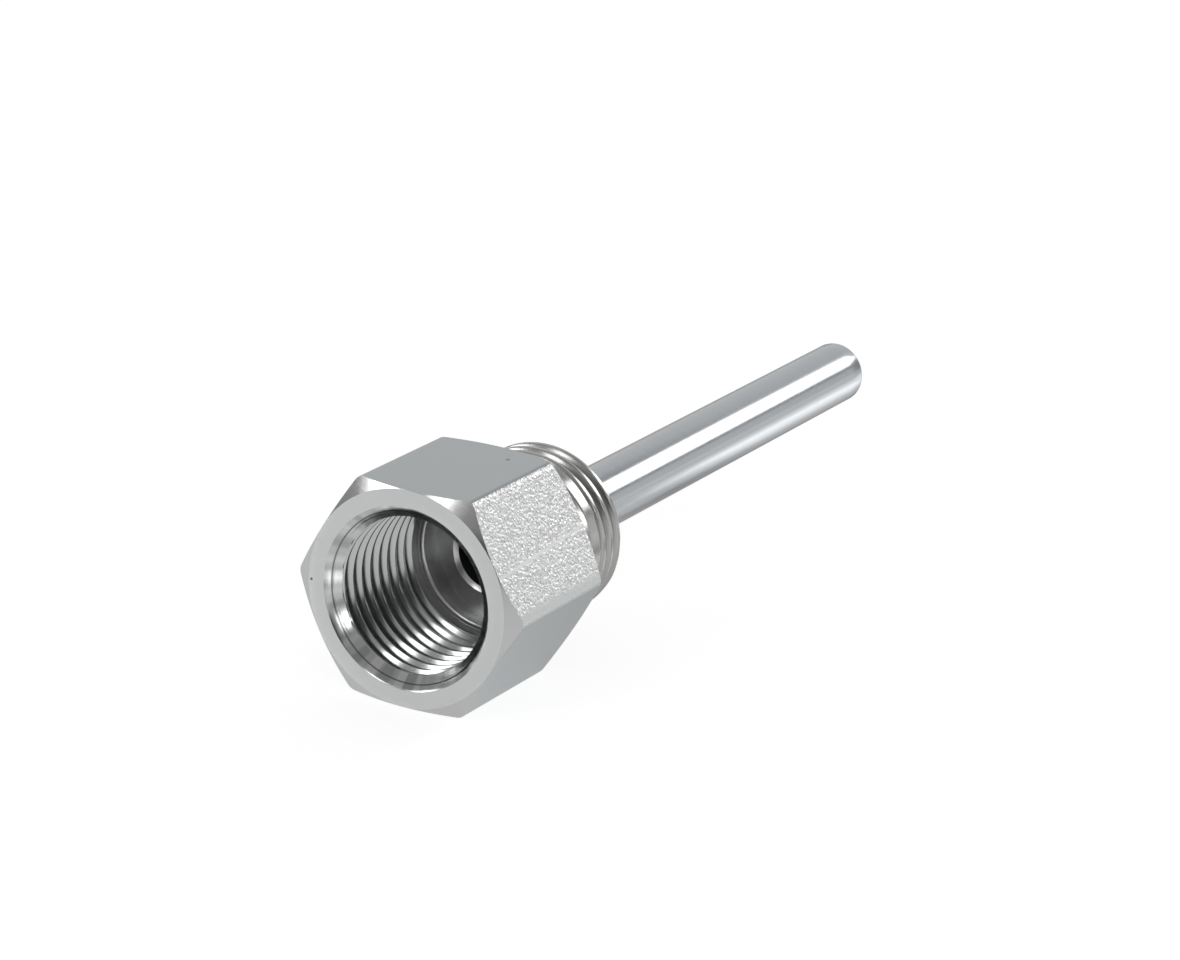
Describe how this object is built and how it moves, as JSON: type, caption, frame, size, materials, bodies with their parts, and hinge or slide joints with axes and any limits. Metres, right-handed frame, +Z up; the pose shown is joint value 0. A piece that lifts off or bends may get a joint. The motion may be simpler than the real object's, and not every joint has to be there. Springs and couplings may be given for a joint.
{
  "type": "thermowell",
  "caption": "Hexagon-headed steel thermowell with an internal thread for the probe, an external thread for the pipe and a slim closed stem.",
  "frame": {"origin": "middle of the sealing shoulder, on the well's axis", "axes": "+X along the well's axis to the closed tip, +Z up, with two of the hexagon's flats level"},
  "size_m": [0.109, 0.0298, 0.026],
  "materials": {
    "steel": "turned and polished stainless steel; one flat bead-blasted"
  },
  "bodies": {
    "root": {"thermowell": "steel"}
  },
  "joints": []
}
